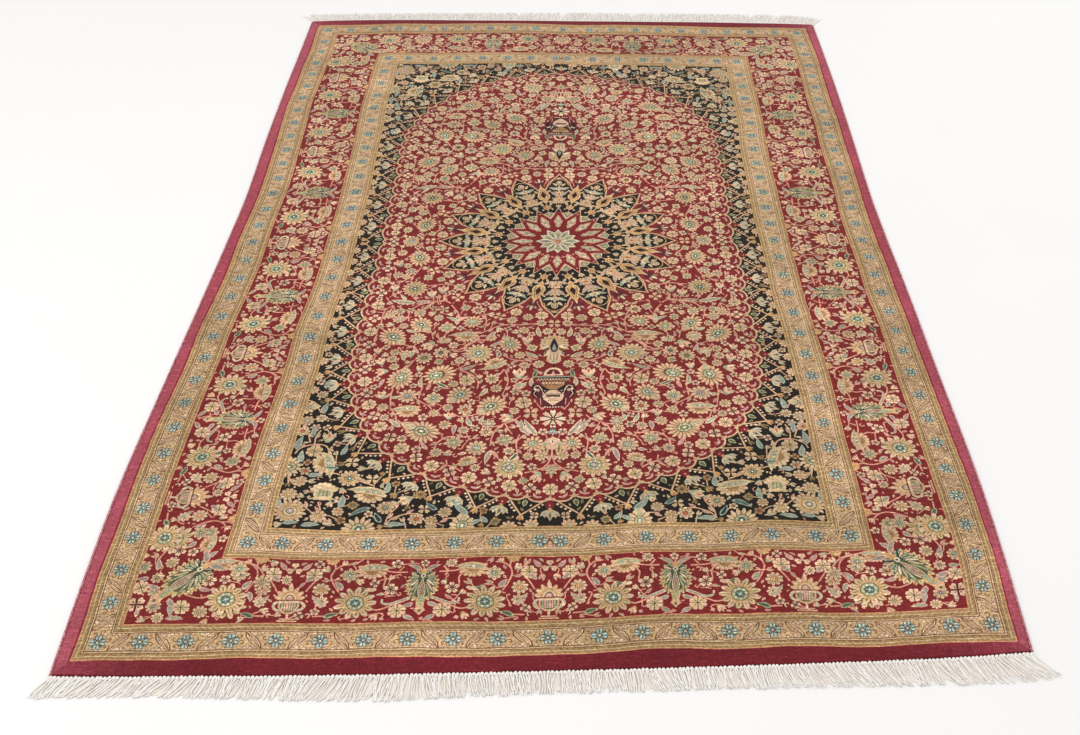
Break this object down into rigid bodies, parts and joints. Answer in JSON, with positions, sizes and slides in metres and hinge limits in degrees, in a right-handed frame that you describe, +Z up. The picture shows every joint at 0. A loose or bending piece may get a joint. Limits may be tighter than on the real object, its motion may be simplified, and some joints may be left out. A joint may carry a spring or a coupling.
{
  "type": "persian rug",
  "caption": "Flat hand-knotted rectangular rug with a round central medallion, bordered floral field, overcast sides and a warp fringe at both ends.",
  "frame": {"origin": "centre of the underside of the rug as it lies, on the floor plane", "axes": "+X across the rug, +Y along it away from the viewer, +Z up out of the pile"},
  "size_m": [1.4582, 2.2791, 0.0067],
  "materials": {
    "pile": "short dense knotted pile in red, navy, gold, sage and cream, soft sheen along its lay",
    "overcast_cord": "fine rose-red yarn wound round the side cord",
    "warp_fringe": "twisted undyed cream warp ends, knotted where they leave the rug"
  },
  "bodies": {
    "root": {"pile_body": "pile", "selvedge_left": "overcast_cord", "selvedge_right": "overcast_cord", "fringe_near": "warp_fringe", "fringe_far": "warp_fringe"}
  },
  "joints": []
}
